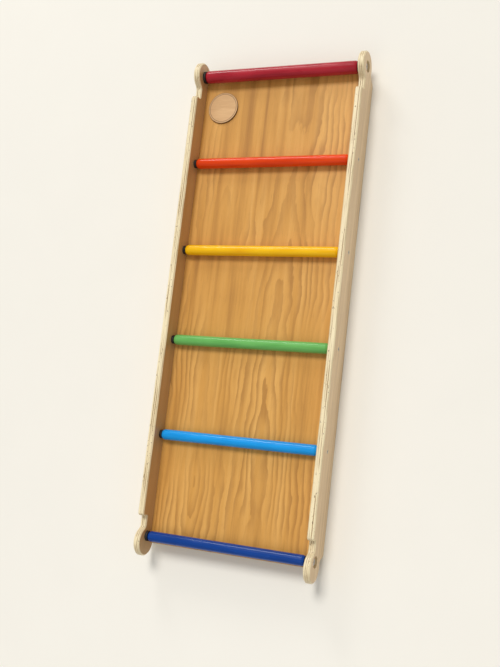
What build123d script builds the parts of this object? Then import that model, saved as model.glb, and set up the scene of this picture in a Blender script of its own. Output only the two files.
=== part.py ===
from build123d import *

import os
from math import cos, hypot, pi, radians, sin, tan

# Child's climbing ramp lying on its back: two plywood side rails, six painted rungs and a grooved-in panel.
# +X is to the right, +Y runs up the ramp, +Z points out of the climbing side. Lengths are in millimetres.
# The origin is midway between the rails and the ends, on the plane of the rails' rear edges.

# Overall layout. The steps between the rungs' axes go from the bottom up, and differ as they do on the real ramp.
# The rungs sit a little nearer the top than the rails' middle does.
inner_width = 452.0
first_rung_step = 271.0
second_rung_step = 258.0
third_rung_step = 250.0
fourth_rung_step = 246.0
fifth_rung_step = 249.0
rung_shift = 6.5

# Side rails
rail_thickness = 18.0
rail_depth = 95.0
rail_edge_bevel = 3.0

# Rounded rail ends, each with a neck and a squared shoulder. Distances along the rail are from half the rungs' span.
lobe_radius = 38.0
lobe_offset = 8.0
lobe_front_blend = 12.0
neck_front_cut = 21.0
shoulder_distance = 59.0
shoulder_corner_radius = 7.0
shoulder_root_radius = 4.0
flare_distance = 16.0
flare_crown_radius = 14.0
waist_radius = 10.0

# Rungs turned from dowel, the top one thicker, with ends rounded in a few turned flats
rung_diameter = 28.0
top_rung_diameter = 34.0
rung_axis_drop = 39.0
end_rung_axis_drop = 33.0
rung_end_radius = 7.5
rung_end_flats = 2

# Rubber spacer between each rung end and its rail
spacer_thickness = 6.5
spacer_diameter = 23.0
bottom_spacer_diameter = 27.0
top_spacer_diameter = 32.0

# Panel held in a groove of each rail
panel_thickness = 9.0
panel_face_drop = 55.0
panel_overhang = 12.0
panel_edge_radius = 1.0
groove_depth = 6.0
groove_clearance = 0.15

# Countersunk wood screws through the rails into the middle rungs
screw_diameter = 5.0
screw_length = 60.0
screw_head_diameter = 10.0
screw_head_angle = 90.0
screw_head_recess = 0.8
screw_socket_width = 4.0
screw_socket_depth = 2.0
screw_clearance = 0.1

# Flat-headed bolts through the lobes into threaded inserts in the end rungs
bolt_diameter = 8.0
bolt_length = 45.0
bolt_head_diameter = 17.0
bolt_head_thickness = 2.6
bolt_socket_width = 5.0
bolt_socket_depth = 2.0
bolt_clearance = 0.25
bolt_tip_room = 3.0
counterbore_diameter = 31.0
counterbore_depth = 6.0
insert_diameter = 12.0
insert_length = 25.0
insert_clearance = 0.1
thread_clearance = 0.05

# Round wooden badge on the panel, its centre set off from the left rail's inner face
badge_diameter = 88.0
badge_thickness = 4.0
badge_side_offset = 58.0
badge_below_top_rung = 83.5

# Worked out from the sizes above
rung_steps = (first_rung_step, second_rung_step, third_rung_step, fourth_rung_step, fifth_rung_step)
span = sum(rung_steps)
rung_rows = [sum(rung_steps[:count]) - span / 2 + rung_shift for count in range(len(rung_steps) + 1)]
bottom_row = 0
top_row = len(rung_rows) - 1
inner_half_width = inner_width / 2
outer_half_width = inner_half_width + rail_thickness
rung_half_length = inner_half_width - spacer_thickness
panel_face_height = rail_depth - panel_face_drop
panel_half_length = span / 2 + panel_overhang
screw_head_height = (screw_head_diameter - screw_diameter) / 2 / tan(radians(screw_head_angle / 2))


def is_end_row(row):
    """The first and last rungs are bolted between the lobes."""
    return row in (bottom_row, top_row)


def rung_axis(row):
    """Place along the ramp and height of one rung's axis."""
    drop = end_rung_axis_drop if is_end_row(row) else rung_axis_drop
    return rung_rows[row], rail_depth - drop


def soften(face, corners):
    """Round the corners of a face, each given as its place and its radius."""
    for y, z, radius in corners:
        corner = face.vertices().sort_by_distance((0, y, z))[0]
        face = fillet(corner, radius)
    return face


def along_x(length, radius, x_start, y=0.0, z=0.0):
    """A round bar or bore that runs along +X from x_start."""
    return Pos(x_start + length / 2, y, z) * Rot(Y=90) * Cylinder(radius, length)


# Side rails

def rail_half_outline():
    """The rail's side view from its middle up to its upper lobe."""
    half_span = span / 2
    neck_front = rail_depth - neck_front_cut
    lobe_y = half_span + lobe_offset
    lobe_z = rail_depth - end_rung_axis_drop
    shoulder_y = half_span - shoulder_distance
    flare_y = half_span - flare_distance
    # The rear edge turns in towards the lobe's centre
    points = [
        (0, 0),
        (flare_y, 0),
        (lobe_y, lobe_z),
        (lobe_y, neck_front),
        (shoulder_y, neck_front),
        (shoulder_y, rail_depth),
        (0, rail_depth),
    ]
    blade = Plane.YZ * make_face(Polyline(*points, close=True))
    lobe = Plane.YZ * Pos(lobe_y, lobe_z) * Circle(lobe_radius)
    front_reach = (lobe_radius**2 - (neck_front - lobe_z) ** 2) ** 0.5
    waist_share = lobe_radius / hypot(lobe_y - flare_y, lobe_z)
    waist = (lobe_y - waist_share * (lobe_y - flare_y), lobe_z - waist_share * lobe_z)
    return soften(
        blade + lobe,
        [
            (shoulder_y, rail_depth, shoulder_corner_radius),
            (shoulder_y, neck_front, shoulder_root_radius),
            (lobe_y - front_reach, neck_front, lobe_front_blend),
            (*waist, waist_radius),
            (flare_y, 0, flare_crown_radius),
        ],
    )


def rail_blank():
    """Right-hand rail with the edges of both faces eased, before it is bored."""
    half = rail_half_outline()
    outline = (half + mirror(half, Plane.XZ)).clean()
    blank = Pos(inner_half_width, 0, 0) * extrude(outline.face(), rail_thickness, dir=(1, 0, 0))
    rims = blank.edges().filter_by_position(Axis.X, inner_half_width, inner_half_width)
    rims += blank.edges().filter_by_position(Axis.X, outer_half_width, outer_half_width)
    return chamfer(rims, rail_edge_bevel)


def screw_seat(row):
    """Countersunk hole for a rung screw, wide enough at the face for the head to sit below it."""
    radius = screw_diameter / 2 + screw_clearance
    depth = screw_head_height + screw_head_recess
    mouth_radius = radius + depth * tan(radians(screw_head_angle / 2))
    cone = Rot(Y=90) * Cone(radius, mouth_radius, depth)
    seat = along_x(rail_thickness, radius, inner_half_width) + Pos(outer_half_width - depth / 2, 0, 0) * cone
    return Pos(0, *rung_axis(row)) * seat


def bolt_seat(row):
    """Bolt hole with the wide counterbore that the lobe's outer face shows."""
    hole = along_x(rail_thickness, bolt_diameter / 2 + bolt_clearance, inner_half_width)
    bore = along_x(counterbore_depth, counterbore_diameter / 2, outer_half_width - counterbore_depth)
    return Pos(0, *rung_axis(row)) * (hole + bore)


def panel_groove():
    """Stopped groove in the rail's inner face that takes the panel's edge."""
    length = 2 * (panel_half_length + groove_clearance)
    width = panel_thickness + 2 * groove_clearance
    height = panel_face_height - panel_thickness / 2
    return Pos(inner_half_width + groove_depth / 2, 0, height) * Box(groove_depth, length, width)


def right_rail():
    rail = rail_blank() - panel_groove()
    for row in range(len(rung_rows)):
        rail -= bolt_seat(row) if is_end_row(row) else screw_seat(row)
    return rail


# Rungs and their spacers

def screw_bore():
    """Bore at a middle rung's right-hand end, on the rung's own axis."""
    depth = screw_length + screw_head_recess - rail_thickness - spacer_thickness + screw_clearance
    return along_x(depth, screw_diameter / 2 + thread_clearance, rung_half_length - depth)


def insert_bore():
    """Bore for the insert at an end rung's right-hand end, with room for the bolt's tip behind it."""
    bolt_reach = bolt_length + counterbore_depth - rail_thickness - spacer_thickness + bolt_tip_room
    sleeve = along_x(insert_length, insert_diameter / 2 + insert_clearance, rung_half_length - insert_length)
    return sleeve + along_x(bolt_reach, bolt_diameter / 2 + bolt_clearance, rung_half_length - bolt_reach)


def rung(row):
    """Painted rung, bored at both ends for its screws or its threaded inserts."""
    radius = (top_rung_diameter if row == top_row else rung_diameter) / 2
    angles = [step * pi / 2 / rung_end_flats for step in range(rung_end_flats + 1)]
    rounding = [
        (rung_half_length - rung_end_radius * (1 - sin(angle)), radius - rung_end_radius * (1 - cos(angle)))
        for angle in angles
    ]
    profile = rounding + [(rung_half_length, 0), (-rung_half_length, 0)] + [(-x, y) for x, y in reversed(rounding)]
    bar = revolve(make_face(Polyline(*profile, close=True)), Axis.X)
    bore = insert_bore() if is_end_row(row) else screw_bore()
    return Pos(0, *rung_axis(row)) * (bar - bore - mirror(bore, Plane.YZ))


def spacer(row):
    """Right-hand spacer ring of one rung."""
    outside = {bottom_row: bottom_spacer_diameter, top_row: top_spacer_diameter}.get(row, spacer_diameter)
    hole = bolt_diameter + 2 * bolt_clearance if is_end_row(row) else screw_diameter + 2 * screw_clearance
    disc = along_x(spacer_thickness, outside / 2, rung_half_length)
    return Pos(0, *rung_axis(row)) * (disc - along_x(spacer_thickness, hole / 2, rung_half_length))


# Fasteners

def rung_screw(row):
    """Right-hand screw of one middle rung, its head just below the rail's face and its end inside the rung."""
    hang = (Align.CENTER, Align.CENTER, Align.MAX)
    shank = Cylinder(screw_diameter / 2, screw_length, align=hang)
    head = Cone(screw_diameter / 2, screw_head_diameter / 2, screw_head_height, align=hang)
    socket = extrude(RegularPolygon(screw_socket_width / 2, 6), -screw_socket_depth)
    y, z = rung_axis(row)
    return Pos(outer_half_width - screw_head_recess, y, z) * Rot(Y=90) * (shank + head - socket)


def end_bolt(row):
    """Right-hand bolt of one end rung, its head on the counterbore's floor."""
    head = Cylinder(bolt_head_diameter / 2, bolt_head_thickness, align=(Align.CENTER, Align.CENTER, Align.MIN))
    shank = Cylinder(bolt_diameter / 2, bolt_length, align=(Align.CENTER, Align.CENTER, Align.MAX))
    socket = Pos(0, 0, bolt_head_thickness) * extrude(RegularPolygon(bolt_socket_width / 2, 6), -bolt_socket_depth)
    y, z = rung_axis(row)
    return Pos(outer_half_width - counterbore_depth, y, z) * Rot(Y=90) * (head + shank - socket)


def threaded_insert(row):
    """Right-hand insert of one end rung, a sleeve flush with the rung's end."""
    start = rung_half_length - insert_length + insert_clearance
    length = insert_length - insert_clearance
    thread = along_x(length, bolt_diameter / 2 + thread_clearance, start)
    return Pos(0, *rung_axis(row)) * (along_x(length, insert_diameter / 2, start) - thread)


# Panel and badge

def panel():
    """Flat panel whose long edges stand in the rails' grooves."""
    width = 2 * (inner_half_width + groove_depth - groove_clearance)
    board = Box(width, 2 * panel_half_length, panel_thickness)
    board = fillet(board.edges().filter_by(Axis.X), panel_edge_radius)
    return Pos(0, 0, panel_face_height - panel_thickness / 2) * board


def badge():
    """Plain round plaque glued to the panel below the top rung."""
    place_y = rung_rows[top_row] - badge_below_top_rung
    disc = Cylinder(badge_diameter / 2, badge_thickness, align=(Align.CENTER, Align.CENTER, Align.MIN))
    return Pos(badge_side_offset - inner_half_width, place_y, panel_face_height) * disc


def both_sides(name, right_solid):
    """A right-hand piece and its mirror image, under names that say the side."""
    return {f"right_{name}": right_solid, f"left_{name}": mirror(right_solid, Plane.YZ)}


def build_nodes():
    rung_names = ("bottom", "second", "third", "fourth", "fifth", "top")
    middle_rows = [row for row in range(len(rung_rows)) if not is_end_row(row)]
    end_rows = [row for row in range(len(rung_rows)) if is_end_row(row)]
    nodes = both_sides("side_rail", right_rail())
    nodes["slide_panel"] = panel()
    nodes["round_badge"] = badge()
    for row, name in enumerate(rung_names):
        nodes[f"{name}_rung"] = rung(row)
        nodes |= both_sides(f"{name}_spacer", spacer(row))
    nodes |= both_sides("rung_screws", Compound(children=[rung_screw(row) for row in middle_rows]))
    nodes |= both_sides("end_bolts", Compound(children=[end_bolt(row) for row in end_rows]))
    nodes |= both_sides("threaded_inserts", Compound(children=[threaded_insert(row) for row in end_rows]))
    return nodes


os.makedirs("parts", exist_ok=True)
for node_name, shape in build_nodes().items():
    export_step(shape, f"parts/{node_name}.step")
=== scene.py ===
from math import radians

import bpy
from mathutils import Matrix, Vector


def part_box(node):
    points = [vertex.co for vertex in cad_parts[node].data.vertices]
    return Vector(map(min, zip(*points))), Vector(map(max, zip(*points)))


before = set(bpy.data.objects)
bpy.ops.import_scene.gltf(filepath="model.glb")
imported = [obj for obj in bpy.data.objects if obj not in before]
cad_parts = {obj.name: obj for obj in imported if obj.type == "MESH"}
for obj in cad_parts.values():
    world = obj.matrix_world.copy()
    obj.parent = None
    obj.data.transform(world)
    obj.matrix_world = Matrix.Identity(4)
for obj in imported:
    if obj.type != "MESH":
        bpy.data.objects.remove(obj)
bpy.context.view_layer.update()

# Sizes that the looks need, read from the frame, in metres
RAIL_LOW, RAIL_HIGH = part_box("right_side_rail")
INNER_FACE = RAIL_LOW.x
RAIL_THICKNESS = RAIL_HIGH.x - RAIL_LOW.x
BADGE_LOW, BADGE_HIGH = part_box("round_badge")
BADGE_CENTRE = (BADGE_LOW + BADGE_HIGH) / 2
BADGE_RADIUS = (BADGE_HIGH.x - BADGE_LOW.x) / 2

# Camera, from lines and points of the photograph, which is 500 by 667 pixels
PHOTO_WIDTH = 500
PHOTO_HEIGHT = 667
SENSOR = 36.0
FOCAL_PIXELS = 872.0
PRINCIPAL_POINT = (251.5, 367.2)
CAMERA_PLACE = (0.8926, -0.4099, 2.1367)
VIEW_DIRECTION = (-0.3868, 0.1090, -0.9157)
VIEW_UP = (-0.0650, 0.9873, 0.1450)

# Floor and light: places in metres, powers in watts, widths in degrees
FLOOR_SIZE = 40.0
FLOOR_COLOUR = (0.90, 0.872, 0.800)
FLOOR_MOTTLE = 1.01
BACKDROP_COLOUR = (0.92, 0.89, 0.80)
KEY_TOWARDS = (-0.08, 0.50, 0.86)
KEY_WIDTH = 20.0
KEY_STRENGTH = 1.60
KEY_COLOUR = (1.0, 0.985, 0.955)
STRIP_PLACE = (-1.9, 4.2, 2.2)
STRIP_SIZE = 1.3
STRIP_POWER = 48.0
FILL_PLACE = (0.3, -2.2, 3.4)
FILL_SIZE = 2.5
FILL_POWER = 22.0
SKY_STRENGTH = 0.40
SKY_COLOUR = (1.0, 0.99, 0.97)


# Node helpers

class Finish:
    """A material under construction: its node tree, its shader and its object coordinates."""

    def __init__(self, name, roughness, coat=0.0):
        self.material = bpy.data.materials.new(name)
        self.material.use_nodes = True
        self.tree = self.material.node_tree
        self.shader = self.tree.nodes["Principled BSDF"]
        self.shader.inputs["Roughness"].default_value = roughness
        self.shader.inputs["Coat Weight"].default_value = coat
        coordinates = self.add("ShaderNodeTexCoord")
        self.place = coordinates.outputs["Object"]
        self.normal = coordinates.outputs["Normal"]

    def add(self, kind, **settings):
        node = self.tree.nodes.new(kind)
        for key, value in settings.items():
            setattr(node, key, value)
        return node

    def put(self, socket, value):
        """Link an output to a socket, or set the socket's own value."""
        if isinstance(value, bpy.types.NodeSocket):
            self.tree.links.new(value, socket)
        else:
            socket.default_value = value

    def math(self, operation, first, second=0.0, third=0.0):
        node = self.add("ShaderNodeMath", operation=operation)
        for socket, value in zip(node.inputs, (first, second, third)):
            self.put(socket, value)
        return node.outputs[0]

    def times(self, first, second):
        return self.math("MULTIPLY", first, second)

    def plus(self, first, second):
        return self.math("ADD", first, second)

    def minus(self, first, second):
        return self.math("SUBTRACT", first, second)

    def shared(self, first, second, share):
        """Weighted mean of two values, with the first one's share."""
        return self.plus(self.times(first, share), self.times(second, 1.0 - share))

    def length(self, first, second):
        """Length of the vector that two values make."""
        return self.math("SQRT", self.plus(self.times(first, first), self.times(second, second)))

    def axes(self, vector):
        """The three parts of a vector."""
        node = self.add("ShaderNodeSeparateXYZ")
        self.put(node.inputs[0], vector)
        return node.outputs

    def grain(self, scale, offset=(0.0, 0.0, 0.0), detail=3.0, roughness=0.5, distortion=0.0):
        """Soft noise around 0.5, with so many cells per metre along each axis of the part."""
        mapping = self.add("ShaderNodeMapping")
        self.put(mapping.inputs["Vector"], self.place)
        mapping.inputs["Scale"].default_value = scale
        mapping.inputs["Location"].default_value = offset
        node = self.add("ShaderNodeTexNoise")
        self.put(node.inputs["Vector"], mapping.outputs[0])
        node.inputs["Scale"].default_value = 1.0
        node.inputs["Detail"].default_value = detail
        node.inputs["Roughness"].default_value = roughness
        node.inputs["Distortion"].default_value = distortion
        return node.outputs["Fac"]

    def sway(self, noise, width):
        """Noise turned into a shift to both sides, so wide in all."""
        return self.times(self.minus(noise, 0.5), width)

    def spread(self, value, low, high, to_low=0.0, to_high=1.0):
        """Value remapped and clamped, with a smooth step."""
        node = self.add("ShaderNodeMapRange", interpolation_type="SMOOTHSTEP")
        for socket, number in zip(node.inputs, (value, low, high, to_low, to_high)):
            self.put(socket, number)
        return node.outputs[0]

    def ramp(self, value, stops):
        """Colours along a value, each stop given as its place and its linear colour."""
        node = self.add("ShaderNodeValToRGB")
        elements = node.color_ramp.elements
        while len(elements) < len(stops):
            elements.new(0.5)
        for element, (place, colour) in zip(elements, stops):
            element.position = place
            element.color = (*colour, 1.0)
        self.put(node.inputs[0], value)
        return node.outputs[0]

    def mix(self, amount, first, second):
        node = self.add("ShaderNodeMix", data_type="RGBA", blend_type="MIX")
        self.put(node.inputs["Factor"], amount)
        sockets = [s for s in node.inputs if s.type == "RGBA"]
        for socket, value in zip(sockets, (first, second)):
            self.put(socket, value if isinstance(value, bpy.types.NodeSocket) else (*value, 1.0))
        return [s for s in node.outputs if s.type == "RGBA"][0]

    def finish(self, colour, roughness=None, height=None, relief=0.0002, strength=0.3):
        self.put(self.shader.inputs["Base Color"], colour)
        if roughness is not None:
            self.put(self.shader.inputs["Roughness"], roughness)
        if height is not None:
            bump = self.add("ShaderNodeBump")
            bump.inputs["Strength"].default_value = strength
            bump.inputs["Distance"].default_value = relief
            self.put(bump.inputs["Height"], height)
            self.put(self.shader.inputs["Normal"], bump.outputs[0])
        return self.material


# Plywood of the rails

PLY_COUNT = 7
PLY_LIGHT = (0.98, 0.86, 0.57)
PLY_LIGHT_DEEP = (0.84, 0.68, 0.41)
PLY_FACE = (0.86, 0.635, 0.375)
PLY_FACE_DEEP = (0.64, 0.435, 0.225)
# Painted shade of the rails' inner faces, warmed by painted bounce light from the panel
PLY_INSIDE_PAINTED_SHADE = (0.54, 0.30, 0.105)
PLY_END = (0.56, 0.38, 0.18)
PLY_END_DEEP = (0.33, 0.20, 0.08)
GLUE_LINE = (0.17, 0.09, 0.035)
PLY_SWAY = 0.5
# How far into the inner face the painted shade fades in, and how strongly it is laid on
INSIDE_SHADE_SKIN = (0.0006, 0.0002)
INSIDE_SHADE_STRENGTH = 0.75
LINE_DARKNESS = 0.95
GLUE_DARKNESS = 0.90
PIN_DARKNESS = 0.75


def plywood(name):
    """Varnished birch plywood: plies stacked across the rail, long grain and end grain by turns."""
    m = Finish(name, roughness=0.42, coat=0.15)
    x = m.axes(m.place)[0]
    depth = m.minus(m.math("ABSOLUTE", x), INNER_FACE)
    ply = m.times(depth, PLY_COUNT / RAIL_THICKNESS)
    ply = m.plus(ply, m.sway(m.grain((4.0, 3.0, 4.0)), PLY_SWAY))
    worn = m.spread(m.grain((150.0, 9.0, 30.0), (2.0, 9.0, 4.0), detail=4.0), 0.42, 0.62)
    # The wave peaks in the middle of every second ply
    wave = m.math("PINGPONG", m.plus(ply, 0.5), 1.0)
    crossed = m.spread(wave, 0.46, 0.64)
    glue = m.spread(m.math("ABSOLUTE", m.minus(wave, 0.5)), 0.02, 0.12, 1.0, 0.0)
    # Fibres seen from the side are streaks along the ramp, and seen from the end are specks
    streaks = m.grain((700.0, 16.0, 500.0), detail=5.0, roughness=0.6)
    broad = m.grain((60.0, 2.2, 45.0), (3.1, 0.4, 1.7), detail=4.0, roughness=0.55, distortion=0.6)
    specks = m.grain((900.0, 900.0, 900.0), (5.0, 2.0, 8.0), detail=2.0)
    light = m.ramp(m.shared(streaks, broad, 0.5), [(0.36, PLY_LIGHT_DEEP), (0.62, PLY_LIGHT)])
    dark = m.ramp(specks, [(0.35, PLY_END_DEEP), (0.65, PLY_END)])
    facing_x, facing_y, facing_z = m.axes(m.normal)
    end_on_y = m.math("POWER", facing_y, 2.0)
    end_on_z = m.math("POWER", facing_z, 2.0)
    # The lines fade in and out along the straight edges, and always show on the curved ends
    shown = m.math("MAXIMUM", worn, m.spread(m.math("ABSOLUTE", facing_y), 0.10, 0.50))
    straight = m.mix(m.times(end_on_y, 0.35), light, dark)
    cross = m.mix(m.times(end_on_z, m.times(shown, LINE_DARKNESS)), light, dark)
    colour = m.mix(crossed, straight, cross)
    edge = m.times(m.plus(end_on_y, end_on_z), m.math("MULTIPLY_ADD", shown, 0.75, 0.25))
    colour = m.mix(m.times(m.times(glue, edge), GLUE_DARKNESS), colour, GLUE_LINE)
    # The flat faces show one broad ply, and the side that looks at the panel gets painted shade, warmed by
    # painted bounce light from the panel
    face = m.ramp(m.shared(streaks, broad, 0.4), [(0.38, PLY_FACE_DEEP), (0.60, PLY_FACE)])
    face = m.mix(m.times(m.spread(depth, *INSIDE_SHADE_SKIN), INSIDE_SHADE_STRENGTH), face, PLY_INSIDE_PAINTED_SHADE)
    colour = m.mix(m.spread(m.math("ABSOLUTE", facing_x), 0.75, 0.95), colour, face)
    # A few small pin marks on the front and rear edges
    pins = m.spread(m.grain((260.0, 120.0, 260.0), (7.0, 7.0, 7.0), detail=1.0), 0.67, 0.73)
    colour = m.mix(m.times(m.times(pins, end_on_z), PIN_DARKNESS), colour, GLUE_LINE)
    height = m.plus(m.times(streaks, 0.6), m.times(glue, -0.4))
    return m.finish(colour, m.spread(streaks, 0.3, 0.7, 0.36, 0.5), height)


# Veneer of the panel

VENEER_PALE = (0.80, 0.440, 0.125)
VENEER_BODY = (0.66, 0.330, 0.076)
VENEER_STREAK = (0.33, 0.140, 0.032)
RING_WIDTH = 0.0150
RING_DRIFT = 0.055
RING_RIPPLE = 0.085
# Each line through the tree's heart: its x, its depth below the panel's middle, and how that slopes and bends
HEART_LINES = ((-0.125, 0.020, 0.045, -0.020), (0.060, 0.045, 0.050, 0.012))
HEART_BENDS = 6.5
HEART_BLEND = 0.03


def veneer(name):
    """Honey-coloured veneer whose growth rings are cut nearly flat, so that they draw long arches."""
    m = Finish(name, roughness=0.45, coat=0.04)
    m.shader.inputs["Specular IOR Level"].default_value = 0.22
    x, y, _ = m.axes(m.place)
    drift = m.sway(m.grain((1.2, 2.6, 1.0)), RING_DRIFT)
    ripple = m.sway(m.grain((9.0, 2.4, 1.0), detail=6.0), RING_RIPPLE)
    radius = None
    for centre_x, cut_height, slope, bend in HEART_LINES:
        across = m.minus(m.plus(x, drift), centre_x)
        height = m.plus(m.times(y, slope), cut_height)
        height = m.plus(height, m.times(m.math("SINE", m.times(y, HEART_BENDS)), bend))
        distance = m.length(across, height)
        radius = distance if radius is None else m.math("SMOOTH_MIN", radius, distance, HEART_BLEND)
    # Each ring darkens slowly and ends sharply
    saw = m.math("FRACT", m.math("DIVIDE", m.plus(radius, ripple), RING_WIDTH))
    late = m.times(m.spread(saw, 0.25, 0.92), m.spread(saw, 0.92, 1.0, 1.0, 0.0))
    pores = m.grain((900.0, 22.0, 1.0), (1.0, 3.0, 0.0), detail=3.0, roughness=0.65)
    bands = m.grain((34.0, 1.1, 1.0), (4.0, 1.0, 0.0), detail=4.0, roughness=0.55)
    clouds = m.grain((5.0, 3.0, 1.0), (2.0, 6.0, 0.0), detail=2.0)
    tone = m.shared(bands, clouds, 0.62)
    colour = m.ramp(tone, [(0.26, VENEER_STREAK), (0.46, VENEER_BODY), (0.66, VENEER_PALE)])
    strength = m.times(late, m.spread(clouds, 0.40, 0.62, 0.05, 0.58))
    colour = m.mix(strength, colour, VENEER_STREAK)
    colour = m.mix(m.spread(pores, 0.54, 0.74, 0.0, 0.45), colour, VENEER_STREAK)
    height = m.plus(m.times(pores, -0.7), m.times(late, 0.3))
    return m.finish(colour, m.spread(pores, 0.35, 0.7, 0.34, 0.48), height, relief=0.00015)


# Paint of the rungs, each as its clean colour and its deeper shade

RUNG_PAINTS = {
    "top_rung": ((0.46, 0.018, 0.034), (0.30, 0.010, 0.020)),
    "fifth_rung": ((0.86, 0.066, 0.001), (0.68, 0.040, 0.001)),
    "fourth_rung": ((0.99, 0.57, 0.003), (0.88, 0.43, 0.002)),
    "third_rung": ((0.165, 0.50, 0.125), (0.110, 0.39, 0.085)),
    "second_rung": ((0.006, 0.345, 0.86), (0.004, 0.26, 0.70)),
    "bottom_rung": ((0.001, 0.052, 0.300), (0.001, 0.036, 0.22)),
}


def paint(name, colour, shade):
    """Gloss paint brushed along a dowel, with the grain just telling through it."""
    m = Finish(name, roughness=0.22, coat=0.18)
    m.shader.inputs["Coat Roughness"].default_value = 0.08
    m.shader.inputs["Specular IOR Level"].default_value = 0.22
    grain = m.grain((14.0, 420.0, 420.0), detail=4.0, roughness=0.6)
    clouds = m.grain((11.0, 40.0, 40.0), (2.0, 5.0, 1.0), detail=2.0)
    tint = m.ramp(m.shared(grain, clouds, 0.45), [(0.32, shade), (0.62, colour)])
    return m.finish(tint, m.spread(clouds, 0.3, 0.7, 0.18, 0.30), grain, relief=0.00012, strength=0.35)


# Spacers and fasteners

RUBBER_DARK = (0.008, 0.007, 0.007)
RUBBER_WORN = (0.022, 0.020, 0.020)
STEEL_DULL = (0.38, 0.37, 0.36)
STEEL_BRIGHT = (0.60, 0.59, 0.57)


def rubber(name):
    """Matte black rubber."""
    m = Finish(name, roughness=0.6)
    grit = m.grain((1500.0, 1500.0, 1500.0), detail=2.0)
    colour = m.ramp(grit, [(0.3, RUBBER_DARK), (0.7, RUBBER_WORN)])
    return m.finish(colour, m.spread(grit, 0.3, 0.7, 0.5, 0.7), grit, relief=0.0001)


def steel(name):
    """Zinc-plated steel with faint scuffs."""
    m = Finish(name, roughness=0.32)
    m.shader.inputs["Metallic"].default_value = 1.0
    scuffs = m.grain((500.0, 700.0, 700.0), detail=4.0, roughness=0.6)
    colour = m.ramp(scuffs, [(0.3, STEEL_DULL), (0.7, STEEL_BRIGHT)])
    return m.finish(colour, m.spread(scuffs, 0.3, 0.7, 0.25, 0.45), scuffs, relief=0.00005)


# Wood of the badge

BADGE_PALE = (0.74, 0.46, 0.215)
BADGE_DEEP = (0.60, 0.345, 0.145)
SCORCH = (0.13, 0.060, 0.022)
SCORCHED_RING = BADGE_RADIUS * 0.90
SCORCHED_RING_EDGE = (0.0004, 0.0011)
SCORCHED_RIM = (BADGE_RADIUS * 0.965, BADGE_RADIUS * 0.995)


def badge_wood(name):
    """Laser-cut plywood disc: a scorched side and one thin scorched ring near the rim."""
    m = Finish(name, roughness=0.55)
    x, y, _ = m.axes(m.place)
    radius = m.length(m.minus(x, BADGE_CENTRE.x), m.minus(y, BADGE_CENTRE.y))
    grain = m.grain((26.0, 480.0, 1.0), detail=5.0, roughness=0.6)
    figure = m.grain((10.0, 60.0, 1.0), (1.0, 2.0, 0.0), detail=3.0, distortion=0.7)
    colour = m.ramp(m.shared(grain, figure, 0.5), [(0.34, BADGE_DEEP), (0.64, BADGE_PALE)])
    ring_gap = m.math("ABSOLUTE", m.minus(radius, SCORCHED_RING))
    ring = m.spread(ring_gap, *SCORCHED_RING_EDGE, 1.0, 0.0)
    burnt = m.math("MAXIMUM", m.times(ring, 0.8), m.spread(radius, *SCORCHED_RIM))
    colour = m.mix(burnt, colour, SCORCH)
    return m.finish(colour, height=m.minus(m.times(grain, 0.3), ring), relief=0.0003)


def dress():
    """Give every CAD node its finish, found by the end of the node's name."""
    finishes = {
        "side_rail": plywood("birch_plywood"),
        "slide_panel": veneer("panel_veneer"),
        "round_badge": badge_wood("badge_wood"),
        "spacer": rubber("black_rubber"),
        "screws": steel("zinc_steel"),
        "bolts": steel("zinc_steel_bolts"),
        "inserts": steel("zinc_steel_inserts"),
    }
    for node, (colour, shade) in RUNG_PAINTS.items():
        finishes[node] = paint(node + "_paint", colour, shade)
    for node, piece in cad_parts.items():
        material = next(m for ending, m in finishes.items() if node.endswith(ending))
        piece.data.materials.clear()
        piece.data.materials.append(material)


# Floor, light and camera

def floor():
    """Plain pale floor that catches the ramp's shadow."""
    bpy.ops.mesh.primitive_plane_add(size=FLOOR_SIZE)
    plane = bpy.context.object
    plane.name = "floor"
    m = Finish("floor_paint", roughness=0.85)
    mottle = m.grain((6.0, 6.0, 6.0), detail=2.0)
    pale = tuple(channel * FLOOR_MOTTLE for channel in FLOOR_COLOUR)
    plane.data.materials.append(m.finish(m.ramp(mottle, [(0.3, FLOOR_COLOUR), (0.7, pale)])))


def place_light(light, towards):
    """Add a light to the scene, with its back turned along a vector."""
    holder = bpy.data.objects.new(light.name, light)
    bpy.context.scene.collection.objects.link(holder)
    holder.rotation_euler = Vector(towards).to_track_quat("Z", "Y").to_euler()
    return holder


def lamp(name, place, size, power):
    """Square soft lamp turned towards the ramp's middle."""
    light = bpy.data.lights.new(name, "AREA")
    light.size = size
    light.energy = power
    holder = place_light(light, place)
    holder.location = place


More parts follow.
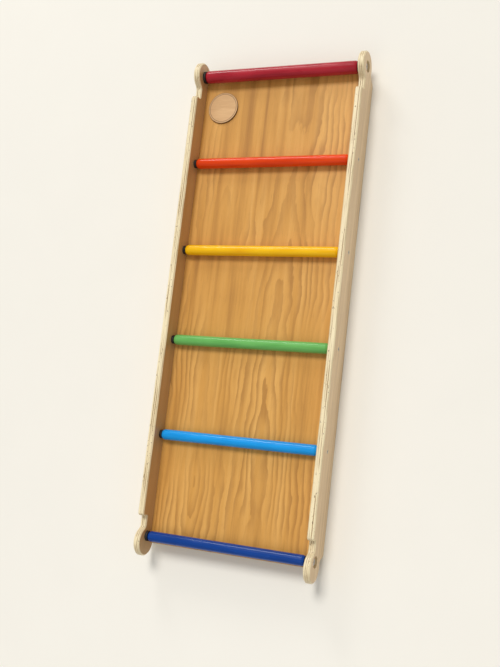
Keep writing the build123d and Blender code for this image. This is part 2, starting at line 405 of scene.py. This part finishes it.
def sun(name, towards, width, strength, colour):
    """Even light over the whole floor, from a soft disc in one direction."""
    light = bpy.data.lights.new(name, "SUN")
    light.angle = radians(width)
    light.energy = strength
    light.color = colour
    place_light(light, towards)


def sky(strength, colour):
    """Even light from all around, and a pale backdrop for the camera where the floor ends."""
    world = bpy.data.worlds.new("studio")
    world.use_nodes = True
    tree = world.node_tree
    light = tree.nodes["Background"]
    light.inputs["Color"].default_value = (*colour, 1.0)
    light.inputs["Strength"].default_value = strength
    seen = tree.nodes.new("ShaderNodeBackground")
    seen.inputs["Color"].default_value = (*BACKDROP_COLOUR, 1.0)
    choice = tree.nodes.new("ShaderNodeMixShader")
    path = tree.nodes.new("ShaderNodeLightPath")
    tree.links.new(path.outputs["Is Camera Ray"], choice.inputs[0])
    tree.links.new(light.outputs[0], choice.inputs[1])
    tree.links.new(seen.outputs[0], choice.inputs[2])
    tree.links.new(choice.outputs[0], tree.nodes["World Output"].inputs["Surface"])
    bpy.context.scene.world = world


def camera():
    """Camera at the photograph's viewing angle."""
    data = bpy.data.cameras.new("camera")
    data.sensor_width = SENSOR
    data.lens = FOCAL_PIXELS / PHOTO_HEIGHT * SENSOR
    data.shift_x = (PHOTO_WIDTH / 2 - PRINCIPAL_POINT[0]) / PHOTO_HEIGHT
    data.shift_y = (PRINCIPAL_POINT[1] - PHOTO_HEIGHT / 2) / PHOTO_HEIGHT
    holder = bpy.data.objects.new("camera", data)
    bpy.context.scene.collection.objects.link(holder)
    back = -Vector(VIEW_DIRECTION).normalized()
    side = Vector(VIEW_UP).cross(back).normalized()
    up = back.cross(side)
    turn = Matrix((side, up, back)).transposed().to_4x4()
    holder.matrix_world = Matrix.Translation(CAMERA_PLACE) @ turn
    bpy.context.scene.camera = holder


dress()
floor()
sun("key", KEY_TOWARDS, KEY_WIDTH, KEY_STRENGTH, KEY_COLOUR)
lamp("strip", STRIP_PLACE, STRIP_SIZE, STRIP_POWER)
lamp("fill", FILL_PLACE, FILL_SIZE, FILL_POWER)
sky(SKY_STRENGTH, SKY_COLOUR)
camera()
bpy.context.scene.view_settings.view_transform = "Standard"
